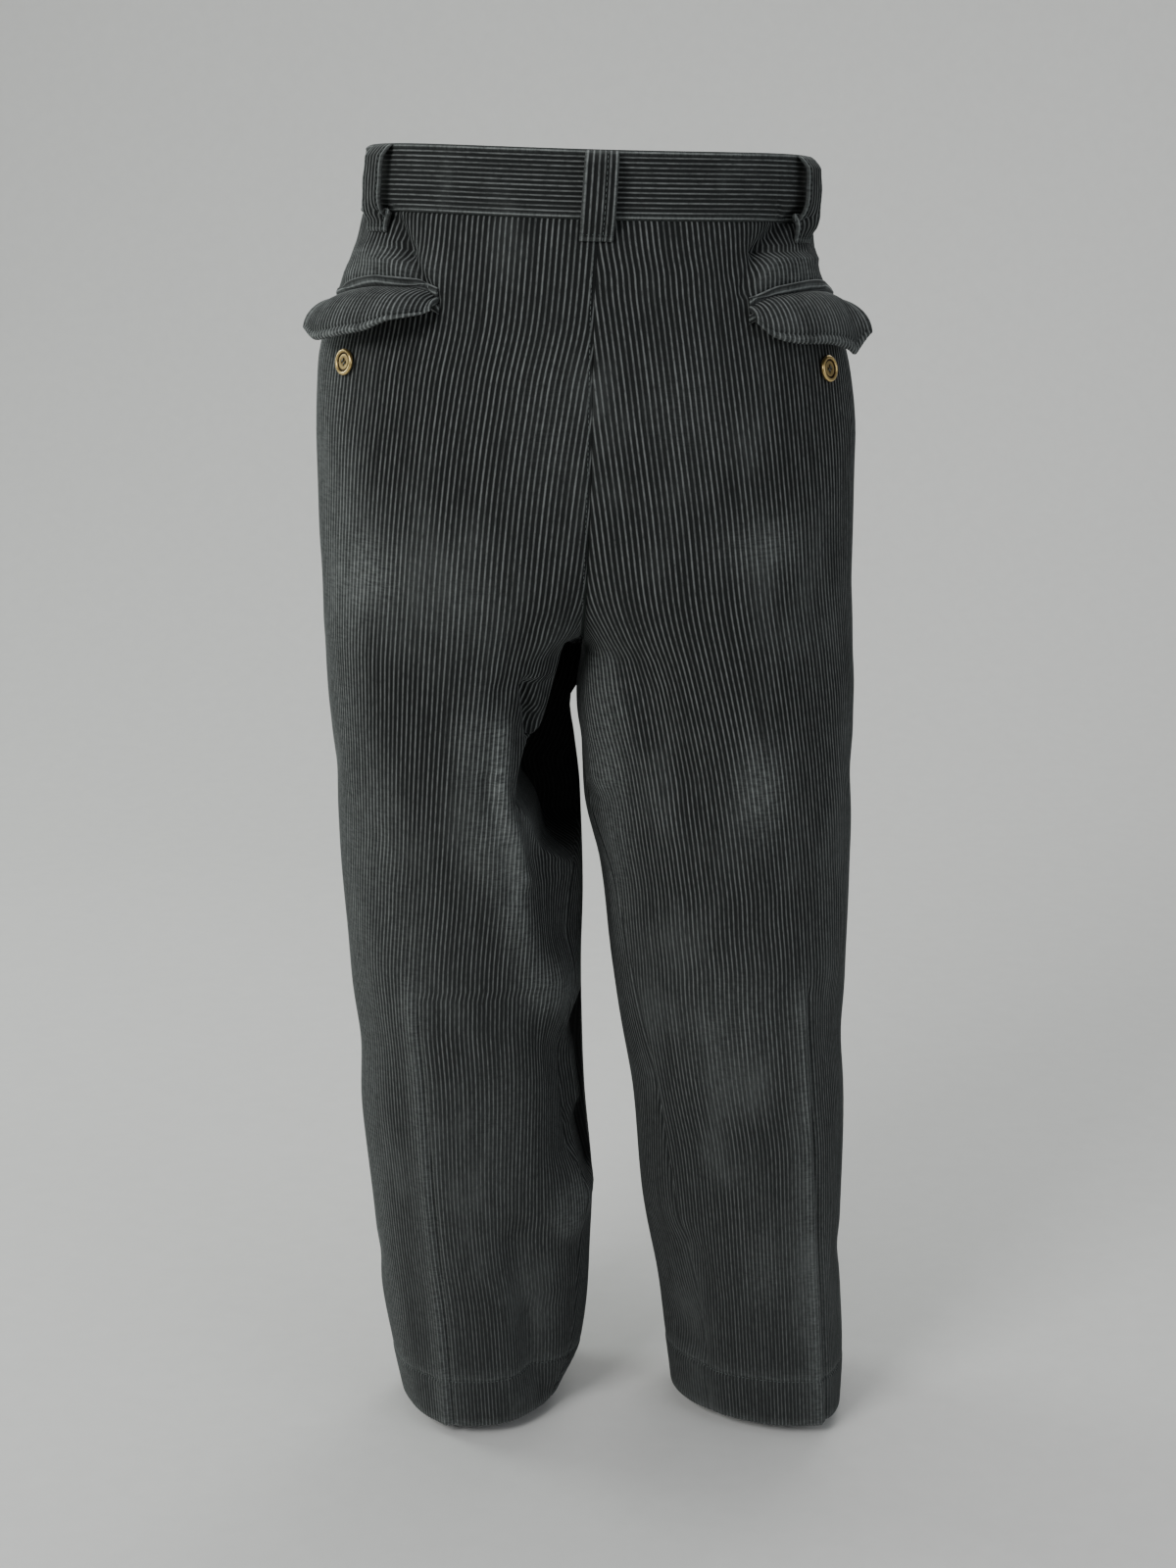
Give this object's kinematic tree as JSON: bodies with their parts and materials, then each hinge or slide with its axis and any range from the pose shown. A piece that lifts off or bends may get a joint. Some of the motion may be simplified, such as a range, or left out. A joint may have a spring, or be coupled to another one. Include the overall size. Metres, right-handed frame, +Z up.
{
  "type": "corduroy trousers",
  "caption": "Straight-legged trousers of wide-wale corduroy, filled out and hollow, with belt loops, creased legs and flapped, buttoned hip pockets.",
  "frame": {"origin": "middle of the waist ring, level with the top of the waistband at the back, where a wearer's waist holds the trousers", "axes": "+Z up, +Y to the wearer's front, +X to the wearer's right"},
  "size_m": [0.3937, 0.2518, 0.9529],
  "materials": {
    "corduroy": "dark charcoal-green cotton corduroy, ribbed pile",
    "brass_button": "turned and aged brass, polished where it is rubbed"
  },
  "bodies": {
    "root": {"back_left": "corduroy", "back_right": "corduroy", "front_left": "corduroy", "front_right": "corduroy", "waistband_left": "corduroy", "waistband_right": "corduroy", "belt_loop_back": "corduroy", "belt_loop_side_left": "corduroy", "belt_loop_side_right": "corduroy", "belt_loop_front_left": "corduroy", "belt_loop_front_right": "corduroy", "pocket_welt_upper_left": "corduroy", "pocket_welt_upper_right": "corduroy", "pocket_welt_lower_left": "corduroy", "pocket_welt_lower_right": "corduroy", "pocket_flap_left": "corduroy", "pocket_flap_right": "corduroy", "fly_placket": "corduroy", "pocket_button_left": "brass_button", "pocket_button_right": "brass_button", "waist_button": "brass_button"}
  },
  "joints": []
}
